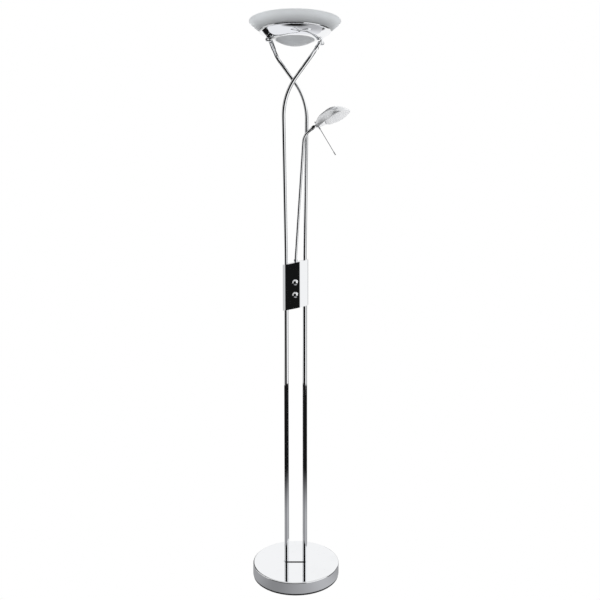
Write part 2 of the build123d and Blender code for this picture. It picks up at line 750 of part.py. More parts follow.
def make_reading_arm():
    """Bent tube that turns in a socket on the upper bridge."""
    def along(distance):
        return arm_foot + arm_direction * distance

    arm_radius = arm_diameter / 2
    arm_end = head_pivot - arm_end_direction * (swivel_stub + gap)
    path = FilletPolyline(along(-arm_insertion), arm_corner, arm_end, radius=arm_bend_radius)
    arm = swept(path, arm_radius) - swept(path, arm_radius - arm_wall)
    washer_top = -(arm_insertion + flat_gap)
    washer_bottom = washer_top - thrust_washer_thickness
    socket = rod(along(washer_bottom - socket_floor), along(-socket_clear_of_top), socket_diameter / 2)
    socket -= rod(along(washer_bottom), along(0), arm_radius + fit)
    collar = rod(along(collar_lift), along(collar_lift + collar_length), collar_diameter / 2)
    collar -= rod(along(0), along(collar_lift + 2 * collar_length), arm_radius + fit)
    washer = rod(along(washer_bottom), along(washer_top), arm_radius)
    washer -= rod(along(washer_bottom - 1), along(washer_top + 1), arm_radius - 2 * arm_wall)
    return {
        "reading_arm": arm,
        "arm_collar": collar,
        "arm_socket": socket,
        "arm_thrust_washer": washer,
    }


def through_stations(section, tip_wall):
    """Body lofted through one cross section per station, the last one drawn back from the tip."""
    places = [station[0] for station in shade_stations]
    places[-1] -= tip_wall
    planes = [Plane((place, 0, 0), x_dir=(0, 1, 0), z_dir=(1, 0, 0)) for place in places]
    return loft([plane * section(*station[1:]) for plane, station in zip(planes, shade_stations)])


def half_round(half_width, height, base):
    """Half ellipse standing on a base line, or hanging from it where the height is negative."""
    start_angle = 0 if height > 0 else 180
    arc = EllipticalCenterArc((0, base), half_width, abs(height), start_angle=start_angle, arc_size=180)
    return make_face(arc + Line(arc @ 1, arc @ 0))


def shade_outside(half_width, top, bottom):
    """Cross section of the outside of the shade."""
    return half_round(half_width, top - bottom, bottom)


def shade_inside(half_width, top, bottom):
    """Cross section of the hollow of the shade."""
    return half_round(half_width - shade_wall, top - bottom - 2 * shade_wall, bottom + shade_wall)


def shade_opening():
    """Straight cut through the underside of the shade, along the inside of its edge."""
    inset = shade_wall + shade_ledge
    points = [(place, half_width - inset) for place, half_width, top, bottom in shade_stations]
    points[-1] = (points[-1][0] - shade_tip_wall - shade_ledge, points[-1][1])
    side = Spline(points)
    other_side = mirror(side, Plane.XZ)
    outline = side + Line(side @ 1, other_side @ 1) + other_side + Line(other_side @ 0, side @ 0)
    return Pos(0, 0, -2 * shade_wall) * extrude(make_face(outline), 3.5 * shade_wall)


def lens_section(half_width, top, bottom):
    """Cross section of the lens, which hangs from the level of the shade's inner edge."""
    inset = shade_wall + shade_ledge + gap
    return half_round(half_width - inset, -lens_bulge_share * (top - bottom), bottom + shade_wall)


def make_reading_head():
    """Leaf shaped shade on a swivel with a tilt pin, with its lamp, lens and handle."""
    def across(u, w, reach, radius):
        return rod((u, -reach, w), (u, reach, w), radius)

    half_tongue = tongue_thickness / 2
    ear_inside = half_tongue + gap
    ear_outside = ear_inside + ear_thickness
    pin_radius = tilt_pin_diameter / 2
    stub_start = -swivel_stub
    stub_end = stub_start + swivel_length
    spigot_radius = arm_diameter / 2 - arm_wall - fit

    ears = block((stub_end, -ear_outside, -ear_radius), (0, ear_outside, ear_radius))
    ears += across(0, 0, ear_outside, ear_radius)
    ears -= block((stub_end, -ear_inside, -swivel_diameter), (swivel_diameter, ear_inside, swivel_diameter))
    swivel = rod((stub_start, 0, 0), (stub_end, 0, 0), swivel_diameter / 2) + ears
    swivel += rod((stub_start - swivel_spigot_length, 0, 0), (stub_start, 0, 0), spigot_radius)
    swivel -= across(0, 0, swivel_diameter, pin_radius + fit)
    pin = across(0, 0, ear_outside, pin_radius)
    for side in (-1, 1):
        pin += rod((0, side * ear_outside, 0), (0, side * (ear_outside + tilt_pin_head_height), 0),
                   tilt_pin_head_diameter / 2)

    mount = across(0, 0, half_tongue, tongue_radius)
    mount += block((0, -half_tongue, mount_bottom), (mount_end, half_tongue, mount_top))
    mount -= across(0, 0, swivel_diameter, pin_radius + fit)

    shade_end = shade_stations[-1][0]

    def beyond(place):
        return block((place, -shade_end, -shade_end), (2 * shade_end, shade_end, shade_end))

    inside = through_stations(shade_inside, shade_tip_wall)
    opening = shade_opening() & beyond(shade_opening_start)
    shade = through_stations(shade_outside, 0) - inside - opening
    lens = through_stations(lens_section, shade_tip_wall + shade_ledge + gap)
    lens_start = shade_opening_start + gap
    lens_end = Pos(lens_start, 0, 0) * Rot(0, -lens_end_slope, 0) * beyond(0)
    lens = lens & beyond(lens_start) & lens_end

    holder_end = mount_end + lamp_holder_length
    holder = rod((mount_end, 0, lamp_holder_lift), (holder_end, 0, lamp_holder_lift),
                 lamp_holder_diameter / 2)
    bulb_radius = bulb_diameter / 2
    bulb_end = holder_end + bulb_length - bulb_radius
    bulb = rod((holder_end, 0, lamp_holder_lift), (bulb_end, 0, lamp_holder_lift), bulb_radius)
    bulb += Pos(bulb_end, 0, lamp_holder_lift) * Sphere(bulb_radius)

    screw_place = Vector(neck_screw_place[0], 0, neck_screw_place[1])
    screw_target = Vector(neck_screw_target[0], 0, neck_screw_target[1])
    screw_in = (screw_target - screw_place).normalized()
    screw_radius = neck_screw_diameter / 2
    screw_top = screw_place - screw_in * neck_screw_head_height
    screw_head_radius = neck_screw_head_diameter / 2
    screw = rod(screw_place, screw_target, screw_radius) + rod(screw_top, screw_place, screw_head_radius)
    screw_room = rod(screw_top, screw_target + screw_in * gap, screw_radius + fit)
    head_room = rod(screw_top - screw_in * neck_screw_head_height, screw_place, screw_head_radius + fit)

    handle_angle = radians(handle_lean)
    handle_out = Vector(sin(handle_angle), 0, -cos(handle_angle))
    handle_root = Vector(handle_place, 0, 0)

    def on_handle(distance):
        return handle_root + handle_out * distance

    handle_radius = handle_diameter / 2
    handle = rod(on_handle(-handle_insertion), on_handle(handle_length), handle_radius)
    handle += rod(on_handle(handle_root_start), on_handle(handle_root_start + handle_root_length),
                  handle_root_diameter / 2)
    tip_start = handle_length - handle_tip_length
    tip = rod(on_handle(tip_start), on_handle(handle_length + handle_radius), handle_tip_diameter / 2)
    tip -= rod(on_handle(tip_start - 1), on_handle(handle_length), handle_radius + fit)
    handle_room = rod(on_handle(-handle_insertion - gap), on_handle(handle_root_length),
                      handle_radius + fit)

    mount = mount - screw_room - handle_room
    shade = shade - screw_room - head_room - handle_room
    return {
        "head_swivel": swivel_frame.location * swivel,
        "head_tilt_pin": swivel_frame.location * pin,
        "head_mount": head_frame.location * mount,
        "reading_shade": head_frame.location * shade,
        "shade_lens": head_frame.location * lens,
        "reading_lamp_holder": head_frame.location * holder,
        "capsule_bulb": head_frame.location * bulb,
        "neck_screw": head_frame.location * screw,
        "handle_rod": head_frame.location * handle,
        "handle_tip": head_frame.location * tip,
    }


nodes = {}
for make in (make_foot, make_poles, make_pivots, make_uplighter, make_box, make_dimmers, make_reading_arm,
             make_reading_head):
    nodes.update(make())

os.makedirs("parts", exist_ok=True)
for name, shape in nodes.items():
    export_step(shape, f"parts/{name}.step")

print("nodes", len(nodes))
print("tilt axis of the uplighter", pivot_direction, "through", right_pivot)
print("arm axis", arm_direction, "through", arm_foot)
print("head turn axis", arm_end_direction, "tilt axis", tilt_axis, "through", head_pivot)
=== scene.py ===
"""Floor lamp with an uplighter dish, a dimmer box and a reading arm: its finishes, fittings and studio."""

import json
import logging
import math
from dataclasses import dataclass
from enum import Enum
from typing import Any, Callable, Union

import bmesh
import bpy
from mathutils import Euler, Matrix, Vector

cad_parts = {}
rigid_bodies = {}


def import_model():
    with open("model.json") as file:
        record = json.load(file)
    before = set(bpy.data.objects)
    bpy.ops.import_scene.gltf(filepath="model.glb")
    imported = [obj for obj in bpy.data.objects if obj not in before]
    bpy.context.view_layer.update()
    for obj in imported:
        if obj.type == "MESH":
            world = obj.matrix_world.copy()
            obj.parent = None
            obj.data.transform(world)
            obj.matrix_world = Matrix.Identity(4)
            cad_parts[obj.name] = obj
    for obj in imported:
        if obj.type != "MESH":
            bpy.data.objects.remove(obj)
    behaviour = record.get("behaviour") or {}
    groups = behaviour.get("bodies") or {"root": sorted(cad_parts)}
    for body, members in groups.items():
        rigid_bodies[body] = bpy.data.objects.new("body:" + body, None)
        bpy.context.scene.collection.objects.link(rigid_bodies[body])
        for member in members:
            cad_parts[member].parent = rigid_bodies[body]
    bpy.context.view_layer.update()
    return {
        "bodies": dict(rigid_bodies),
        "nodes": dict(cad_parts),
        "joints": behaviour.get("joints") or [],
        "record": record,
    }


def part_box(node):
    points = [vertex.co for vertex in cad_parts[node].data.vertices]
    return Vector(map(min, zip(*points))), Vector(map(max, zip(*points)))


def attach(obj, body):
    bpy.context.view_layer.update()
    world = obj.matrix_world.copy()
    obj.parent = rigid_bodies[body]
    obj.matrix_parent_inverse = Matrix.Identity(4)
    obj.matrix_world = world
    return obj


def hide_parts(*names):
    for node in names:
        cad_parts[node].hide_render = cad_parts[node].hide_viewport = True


LOG = logging.getLogger("floor_lamp")

Colour = tuple[float, float, float]
Point = tuple[float, float, float]
# A span has a start and an end, and a window has half the width of its soft edges as well
Span = tuple[float, float]
Window = tuple[float, float, float]

WHITE: Colour = (1.0, 1.0, 1.0)
ACROSS = Vector((1.0, 0.0, 0.0))
BACKWARD = Vector((0.0, 1.0, 0.0))
UPWARD = Vector((0.0, 0.0, 1.0))
SMOOTH_ANGLE = math.radians(32.0)
SAME_HEIGHT = 1e-7
MERGE_DISTANCE = 1e-6
MIRROR_MERGE = 1e-5


class Slot(Enum):
    """Material slots of the lamp."""

    CHROME = "chrome"
    CHROMED_PLASTIC = "chromed_plastic"
    FROSTED_GLASS = "frosted_glass"
    CLEAR_GLASS = "clear_glass"
    FOAM_PAD = "black_foam_pad"
    CAST_STONE = "cast_stone"
    BLACK_PLASTIC = "black_plastic"
    PALE_PLASTIC = "pale_plastic"
    BOARD = "board"
    COPPER_COIL = "copper_coil"
    ZINC_STEEL = "zinc_steel"
    BLACK_SCREW = "black_screw"
    CERAMIC = "white_ceramic"


class Body(Enum):
    """Bodies of the lamp that carry new pieces."""

    STAND = "stand"
    UPLIGHTER = "uplighter"
    READING_HEAD = "reading_head"


class Value:
    """A shader socket that carries a number, with arithmetic that adds Math nodes."""

    def __init__(self, tree: "Tree", socket: bpy.types.NodeSocket) -> None:
        """Keep the tree and the socket."""
        self.tree = tree
        self.socket = socket

    def __add__(self, other: "Operand") -> "Value":
        """Sum of two numbers."""
        return self.tree.math("ADD", self, other)

    def __radd__(self, other: "Operand") -> "Value":
        """Sum with a plain number first."""
        return self.tree.math("ADD", other, self)

    def __sub__(self, other: "Operand") -> "Value":
        """Difference of two numbers."""
        return self.tree.math("SUBTRACT", self, other)

    def __rsub__(self, other: "Operand") -> "Value":
        """Difference with a plain number first."""
        return self.tree.math("SUBTRACT", other, self)

    def __mul__(self, other: "Operand") -> "Value":
        """Product of two numbers."""
        return self.tree.math("MULTIPLY", self, other)

    def __rmul__(self, other: "Operand") -> "Value":
        """Product with a plain number first."""
        return self.tree.math("MULTIPLY", other, self)

    def smooth(self, low: float, high: float) -> "Value":
        """Smooth step from 0 at low to 1 at high.

        Args:
            low: The number where the step starts.
            high: The number where the step ends.

        Returns:
            The step's height, between 0 and 1.
        """
        settings = {"interpolation_type": "SMOOTHSTEP"}
        sockets = {"Value": self, "From Min": low, "From Max": high}
        return self.tree.value("ShaderNodeMapRange", settings, sockets, "Result")

    def band(self, low: float, high: float, soft: float) -> "Value":
        """Soft edged window that is 1 between two numbers.

        Args:
            low: Where the window opens.
            high: Where the window closes.
            soft: Half the width of each edge.

        Returns:
            The window's height, between 0 and 1.
        """
        opened = self.smooth(low - soft, low + soft)
        closed = self.smooth(high - soft, high + soft)
        return opened * (1 - closed)


Operand = Union[Value, float, int]


def blend(first: Operand, second: Operand, share: Value) -> Value:
    """Number between two others, at a share of the second."""
    return first + (second - first) * share


class Tree:
    """Shader nodes of one material or world."""

    def __init__(self, owner: Union[bpy.types.Material, bpy.types.World]) -> None:
        """Start from an empty node tree.

        Args:
            owner: The material or world that the nodes belong to.
        """
        owner.use_nodes = True
        self.nodes = owner.node_tree.nodes
        self.links = owner.node_tree.links
        self.nodes.clear()

    def node(self, kind: str, settings: dict[str, Any], sockets: dict[Any, Any]) -> bpy.types.Node:
        """Add a node.

        Args:
            kind: The node's type.
            settings: The node's own settings, set first.
            sockets: A plain value or a link for each input, by name or number.

        Returns:
            The new node.
        """
        node = self.nodes.new(kind)
        for name, setting in settings.items():
            setattr(node, name, setting)
        for name, given in sockets.items():
            source = given.socket if isinstance(given, Value) else given
            if isinstance(source, bpy.types.NodeSocket):
                self.links.new(source, node.inputs[name])
            else:
                node.inputs[name].default_value = source
        return node

    def value(self, kind: str, settings: dict[str, Any], sockets: dict[Any, Any], output: str) -> Value:
        """Add a node and keep one of its outputs, by name, as a number."""
        return Value(self, self.node(kind, settings, sockets).outputs[output])

    def math(self, operation: str, first: Operand, second: Operand = 0.0) -> Value:
        """Add a Math node on two numbers."""
        return self.value("ShaderNodeMath", {"operation": operation}, {0: first, 1: second}, "Value")

    def noise(self, place: Any, scale: float, detail: float = 2.0, roughness: float = 0.5) -> Value:
        """Cloudy noise of about 0 to 1, with its scale in clouds per metre and octaves of finer detail."""
        sockets = {"Vector": place, "Scale": scale, "Detail": detail, "Roughness": roughness}
        return self.value("ShaderNodeTexNoise", {}, sockets, "Fac")

    def mix(self, factor: Operand, first: Any, second: Any) -> bpy.types.NodeSocket:
        """Blend two colours.

        Args:
            factor: Share of the second colour.
            first: A colour or a colour socket.
            second: A colour or a colour socket.

        Returns:
            The blended colour's socket.
        """
        first = (*first, 1.0) if isinstance(first, tuple) else first
        second = (*second, 1.0) if isinstance(second, tuple) else second
        node = self.node("ShaderNodeMix", {"data_type": "RGBA"}, {0: factor, 6: first, 7: second})
        return node.outputs[2]

    def bump(self, height: Value, strength: float, distance: float) -> bpy.types.NodeSocket:
        """Normal from a height of about 0 to 1 that stands for a real distance in metres."""
        node = self.node("ShaderNodeBump", {}, {"Height": height, "Strength": strength, "Distance": distance})
        return node.outputs["Normal"]

    def stretched(self, place: Any, scale: Point) -> bpy.types.NodeSocket:
        """Coordinates stretched by a Mapping node."""
        return self.node("ShaderNodeMapping", {}, {"Vector": place, "Scale": scale}).outputs["Vector"]

    def cells(self, place: Any, scale: float) -> Value:
        """Distance from the middle of the nearest of many cells."""
        return self.value("ShaderNodeTexVoronoi", {}, {"Vector": place, "Scale": scale}, "Distance")

    def wave(self, place: Any, scale: float, direction: str) -> Value:
        """Waves of 0 to 1 across an axis, or DIAGONAL; a greater scale brings them closer."""
        settings = {"bands_direction": direction}
        return self.value("ShaderNodeTexWave", settings, {"Vector": place, "Scale": scale}, "Fac")


@dataclass(frozen=True)
class Finish:
    """A finish of the lamp; a greater scale makes a finer pattern, and depths are in metres."""

    slot: Slot
    tint: Colour

    def make(self) -> bpy.types.Material:
        """Make the finish's material.

        Returns:
            The new material, with its shader in place.
        """
        material = bpy.data.materials.new(self.slot.value)
        tree = Tree(material)
        place = tree.node("ShaderNodeTexCoord", {}, {}).outputs["Object"]
        shader = tree.node("ShaderNodeBsdfPrincipled", {}, self.surface(tree, place))
        tree.node("ShaderNodeOutputMaterial", {}, {"Surface": shader.outputs["BSDF"]})
        material.diffuse_color = (*self.tint, 1.0)
        return material

    def surface(self, tree: Tree, place: bpy.types.NodeSocket) -> dict[str, Any]:
        """Shader inputs of the finish, as values and links, from object coordinates in metres."""
        raise NotImplementedError

    def shaded(self, share: float) -> Colour:
        """The tint made darker or lighter by a share."""
        return tuple(min(1.0, part * share) for part in self.tint)


@dataclass(frozen=True)
class BrightPlate(Finish):
    """Bright plate with faint smudges and wiping marks, and a trace of ripple."""

    polish: float = 0.02
    haze: float = 0.05
    ripple: float = 0.05
    metal: float = 1.0
    smudge_scale: float = 14.0
    smudge_edge: Span = (0.52, 0.78)
    smudge_share: float = 0.6
    smudge_tone: float = 0.95
    wiping_scale: Point = (30.0, 30.0, 150.0)
    wiping_edge: Span = (0.55, 0.8)
    wiping_share: float = 0.4
    wave_scale: float = 30.0
    wave_depth: float = 0.0004

    def surface(self, tree: Tree, place: bpy.types.NodeSocket) -> dict[str, Any]:
        """Shader inputs of the plate.

        Args:
            tree: The material's nodes.
            place: Object coordinates in metres.

        Returns:
            Values and links for the shader's inputs.
        """
        smudge = tree.noise(place, self.smudge_scale, detail=4.0, roughness=0.6).smooth(*self.smudge_edge)
        streaks = tree.noise(tree.stretched(place, self.wiping_scale), 1.0, detail=3.0)
        wiping = streaks.smooth(*self.wiping_edge) * self.wiping_share
        waves = tree.noise(place, self.wave_scale, detail=1.0)
        return {
            "Base Color": tree.mix(smudge * self.smudge_share, self.tint, self.shaded(self.smudge_tone)),
            "Metallic": self.metal,
            "Roughness": self.polish + (smudge + wiping) * self.haze,
            "Normal": tree.bump(waves, self.ripple, self.wave_depth),
        }


@dataclass(frozen=True)
class EtchedGlass(Finish):
    """Satin etched glass that lets some light through, with painted shade that darkens it towards its seat.
    """

    satin: float = 0.42
    clearness: float = 0.35
    relief: float = 0.04
    # painted shade: below the lower height the base colour darkens to this share of the tint, and it fades
    # out by the upper one
    painted_seat_shade: float = 1.0
    painted_shade_heights: Span = (1.771, 1.794)
    cloud_scale: float = 18.0
    cloud_edge: Span = (0.3, 0.7)
    cloud_tone: float = 0.97
    cloud_dulling: float = 0.1
    etching_scale: float = 900.0
    etching_depth: float = 0.0002
    index: float = 1.5

    def surface(self, tree: Tree, place: bpy.types.NodeSocket) -> dict[str, Any]:
        """Shader inputs of the glass.

        Args:
            tree: The material's nodes.
            place: Object coordinates in metres.

        Returns:
            Values and links for the shader's inputs.
        """
        cloud = tree.noise(place, self.cloud_scale, detail=3.0)
        etching = tree.noise(place, self.etching_scale)
        height = tree.value("ShaderNodeSeparateXYZ", {}, {"Vector": place}, "Z")
        body = tree.mix(cloud.smooth(*self.cloud_edge), self.shaded(self.cloud_tone), self.tint)
        return {
            # painted shade: the base colour is darker towards the seat at the bottom of the ring
            "Base Color": tree.mix(height.smooth(*self.painted_shade_heights), self.shaded(self.painted_seat_shade), body),
            "Roughness": self.satin + cloud * self.cloud_dulling,
            "Transmission Weight": self.clearness,
            "IOR": self.index,
            "Normal": tree.bump(etching, self.relief, self.etching_depth),
        }


@dataclass(frozen=True)
class ClearGlass(Finish):
    """Clear glass with a few finger marks."""

    polish: float = 0.01
    index: float = 1.48
    mark_scale: float = 30.0
    mark_edge: Span = (0.58, 0.75)
    mark_share: float = 0.3
    mark_tone: float = 0.95
    mark_dulling: float = 0.08

    def surface(self, tree: Tree, place: bpy.types.NodeSocket) -> dict[str, Any]:
        """Shader inputs of the glass.

        Args:
            tree: The material's nodes.
            place: Object coordinates in metres.

        Returns:
            Values and links for the shader's inputs.
        """
        marks = tree.noise(place, self.mark_scale, detail=5.0, roughness=0.65).smooth(*self.mark_edge)
        return {
            "Base Color": tree.mix(marks * self.mark_share, self.tint, self.shaded(self.mark_tone)),
            "Roughness": self.polish + marks * self.mark_dulling,
            "Transmission Weight": 1.0,
            "IOR": self.index,
        }


@dataclass(frozen=True)
class Foam(Finish):
    """Closed cell foam."""

    dullness: float = 0.8
    relief: float = 0.5
    cell_scale: float = 1400.0
    cell_edge: Span = (0.1, 0.6)
    cell_tone: float = 1.8
    cell_dulling: float = 0.15
    cell_depth: float = 0.0004

    def surface(self, tree: Tree, place: bpy.types.NodeSocket) -> dict[str, Any]:
        """Shader inputs of the foam.

        Args:
            tree: The material's nodes.
            place: Object coordinates in metres.

        Returns:
            Values and links for the shader's inputs.
        """
        cell = tree.cells(place, self.cell_scale)
        return {
            "Base Color": tree.mix(cell.smooth(*self.cell_edge), self.shaded(self.cell_tone), self.tint),
            "Roughness": self.dullness + cell * self.cell_dulling,
            "Normal": tree.bump(cell, self.relief, self.cell_depth),
        }


@dataclass(frozen=True)
class Casting(Finish):
    """Rough casting with grains of aggregate."""

    dullness: float = 0.75
    relief: float = 0.6
    depth: float = 0.0012
    grain_scale: float = 420.0
    grain_edge: Span = (0.05, 0.35)
    grain_tone: float = 0.62
    grain_share: float = 0.5
    patch_scale: float = 24.0
    patch_edge: Span = (0.35, 0.65)
    patch_tones: Span = (0.82, 1.12)
    patch_dulling: float = 0.2

    def surface(self, tree: Tree, place: bpy.types.NodeSocket) -> dict[str, Any]:
        """Shader inputs of the casting.

        Args:
            tree: The material's nodes.
            place: Object coordinates in metres.

        Returns:
            Values and links for the shader's inputs.
        """
        grain = tree.cells(place, self.grain_scale)
        patch = tree.noise(place, self.patch_scale, detail=5.0, roughness=0.6)
        dark, pale = (self.shaded(tone) for tone in self.patch_tones)
        body = tree.mix(patch.smooth(*self.patch_edge), dark, pale)
        return {
            "Base Color": tree.mix(grain.smooth(*self.grain_edge), self.shaded(self.grain_tone), body),
            "Roughness": self.dullness + patch * self.patch_dulling,
            "Normal": tree.bump(patch + grain * self.grain_share, self.relief, self.depth),
        }


@dataclass(frozen=True)
class Moulded(Finish):
    """Moulded plastic or fired ceramic with a fine grain."""

    gloss: float = 0.45
    relief: float = 0.12
    grain_scale: float = 1800.0
    grain_dulling: float = 0.12
    grain_depth: float = 0.0003
    flow_scale: float = 45.0
    flow_edge: Span = (0.35, 0.7)
    flow_tone: float = 0.88

    def surface(self, tree: Tree, place: bpy.types.NodeSocket) -> dict[str, Any]:
        """Shader inputs of the moulding.

        Args:
            tree: The material's nodes.
            place: Object coordinates in metres.

        Returns:
            Values and links for the shader's inputs.
        """
        fine = tree.noise(place, self.grain_scale, detail=3.0)
        flow = tree.noise(place, self.flow_scale)
        return {
            "Base Color": tree.mix(flow.smooth(*self.flow_edge), self.tint, self.shaded(self.flow_tone)),
            "Roughness": self.gloss + fine * self.grain_dulling,
            "Normal": tree.bump(fine, self.relief, self.grain_depth),
        }


@dataclass(frozen=True)
class Laminate(Finish):
    """Glass cloth laminate with its weave showing through."""

    dullness: float = 0.4
    relief: float = 0.2
    weave_scale: float = 1600.0
    weave_tones: Span = (0.85, 1.1)
    weave_dulling: float = 0.2
    weave_depth: float = 0.0002

    def surface(self, tree: Tree, place: bpy.types.NodeSocket) -> dict[str, Any]:
        """Shader inputs of the laminate.

        Args:
            tree: The material's nodes.
            place: Object coordinates in metres.

        Returns:
            Values and links for the shader's inputs.
        """
        weave = tree.wave(place, self.weave_scale, "X") * tree.wave(place, self.weave_scale, "Z")
        dark, pale = (self.shaded(tone) for tone in self.weave_tones)
        return {
            "Base Color": tree.mix(weave, dark, pale),
            "Roughness": self.dullness + weave * self.weave_dulling,
            "Normal": tree.bump(weave, self.relief, self.weave_depth),
        }


@dataclass(frozen=True)
class Winding(Finish):
    """Close wound enamelled wire."""

    metal: float = 0.85
    polish: float = 0.28
    relief: float = 0.8
    turn_scale: float = 260.0
    turn_tones: Span = (0.45, 1.2)
    turn_dulling: float = 0.1
    turn_depth: float = 0.0006

    def surface(self, tree: Tree, place: bpy.types.NodeSocket) -> dict[str, Any]:
        """Shader inputs of the winding.

        Args:
            tree: The material's nodes.
            place: Object coordinates in metres.

        Returns:
            Values and links for the shader's inputs.
        """
        turn = tree.wave(place, self.turn_scale, "DIAGONAL")
        dark, pale = (self.shaded(tone) for tone in self.turn_tones)
        return {
            "Base Color": tree.mix(turn, dark, pale),
            "Metallic": self.metal,
            "Roughness": self.polish + turn * self.turn_dulling,
            "Normal": tree.bump(turn, self.relief, self.turn_depth),
        }


@dataclass(frozen=True)
class MillSteel(Finish):
    """Plated or blackened steel with fine drawing lines."""

    dullness: float = 0.28
    metal: float = 1.0
    relief: float = 0.15
    line_scale: Point = (1400.0, 120.0, 1400.0)
    line_dulling: float = 0.14
    line_depth: float = 0.0002
    patch_scale: float = 160.0
    patch_edge: Span = (0.35, 0.7)
    patch_tone: float = 0.82

    def surface(self, tree: Tree, place: bpy.types.NodeSocket) -> dict[str, Any]:
        """Shader inputs of the steel.

        Args:
            tree: The material's nodes.
            place: Object coordinates in metres.

        Returns:
            Values and links for the shader's inputs.
        """
        lines = tree.noise(tree.stretched(place, self.line_scale), 1.0, detail=3.0)
        patch = tree.noise(place, self.patch_scale, detail=3.0)
        return {
            "Base Color": tree.mix(patch.smooth(*self.patch_edge), self.tint, self.shaded(self.patch_tone)),
            "Metallic": self.metal,
            "Roughness": self.dullness + lines * self.line_dulling,
            "Normal": tree.bump(lines, self.relief, self.line_depth),
        }


FINISHES: tuple[Finish, ...] = (
    BrightPlate(Slot.CHROME, (0.92, 0.93, 0.945), ripple=0.015),
    BrightPlate(Slot.CHROMED_PLASTIC, (0.91, 0.92, 0.935), polish=0.03, ripple=0.08),
    # the frosted glass carries painted shade, darker towards its seat
    EtchedGlass(Slot.FROSTED_GLASS, (0.93, 0.955, 0.965), painted_seat_shade=0.57),
    ClearGlass(Slot.CLEAR_GLASS, (0.96, 0.985, 0.975)),
    Foam(Slot.FOAM_PAD, (0.012, 0.012, 0.013)),
    Casting(Slot.CAST_STONE, (0.42, 0.41, 0.39)),
    Moulded(Slot.BLACK_PLASTIC, (0.016, 0.016, 0.017)),
    Moulded(Slot.PALE_PLASTIC, (0.8, 0.79, 0.73)),
    Laminate(Slot.BOARD, (0.38, 0.27, 0.11)),
    Winding(Slot.COPPER_COIL, (0.62, 0.27, 0.1)),
    MillSteel(Slot.ZINC_STEEL, (0.68, 0.69, 0.71)),
    MillSteel(Slot.BLACK_SCREW, (0.03, 0.03, 0.032), dullness=0.34, metal=0.7),
    Moulded(Slot.CERAMIC, (0.86, 0.85, 0.81), gloss=0.6, grain_scale=900.0, relief=0.25),
)

# Finishes of single pieces
# painted shade: a darker copy of the frosted glass for the bottom lens
SHADED_LENS_GLASS = EtchedGlass(Slot.FROSTED_GLASS, (0.7, 0.715, 0.725))
OPAL_GLASS = EtchedGlass(Slot.FROSTED_GLASS, (0.985, 0.988, 0.988), satin=0.5, clearness=0.0, relief=0.005)
SATIN_CHROME = BrightPlate(Slot.CHROME, (0.92, 0.93, 0.945), polish=0.25, ripple=0.005, metal=0.74)
SATIN_PLASTIC = BrightPlate(Slot.CHROMED_PLASTIC, (0.5, 0.505, 0.515), polish=0.3, ripple=0.005)


class Wardrobe:
    """The lamp's materials by slot, and the CAD nodes that wear them."""

    def __init__(self, frame: dict[str, Any]) -> None:
        self.nodes = frame["nodes"]
        self.materials = {finish.slot: finish.make() for finish in FINISHES}

    @staticmethod
    def wear(piece: bpy.types.Object, material: bpy.types.Material) -> None:
        """Give a whole piece one material."""
        piece.data.materials.clear()
        piece.data.materials.append(material)

    def dress(self, piece: bpy.types.Object, slot: Slot) -> None:
        """Give a whole piece the finish of a slot."""
        self.wear(piece, self.materials[slot])

    def dress_node(self, name: str, slot: Slot) -> None:
        """Give a CAD node the finish of a slot and report it."""
        self.dress(self.nodes[name], slot)
        LOG.info("dressed %s in %s", name, slot.value)

    def dress_apart(self, name: str, finish: Finish, title: str) -> None:
        """Give a CAD node a finish of its own.

        Args:
            name: The node's name.
            finish: The finish to make for it.
            title: Name of the material.
        """
        material = finish.make()
        material.name = title
        self.wear(self.nodes[name], material)
        LOG.info("dressed %s in %s", name, title)


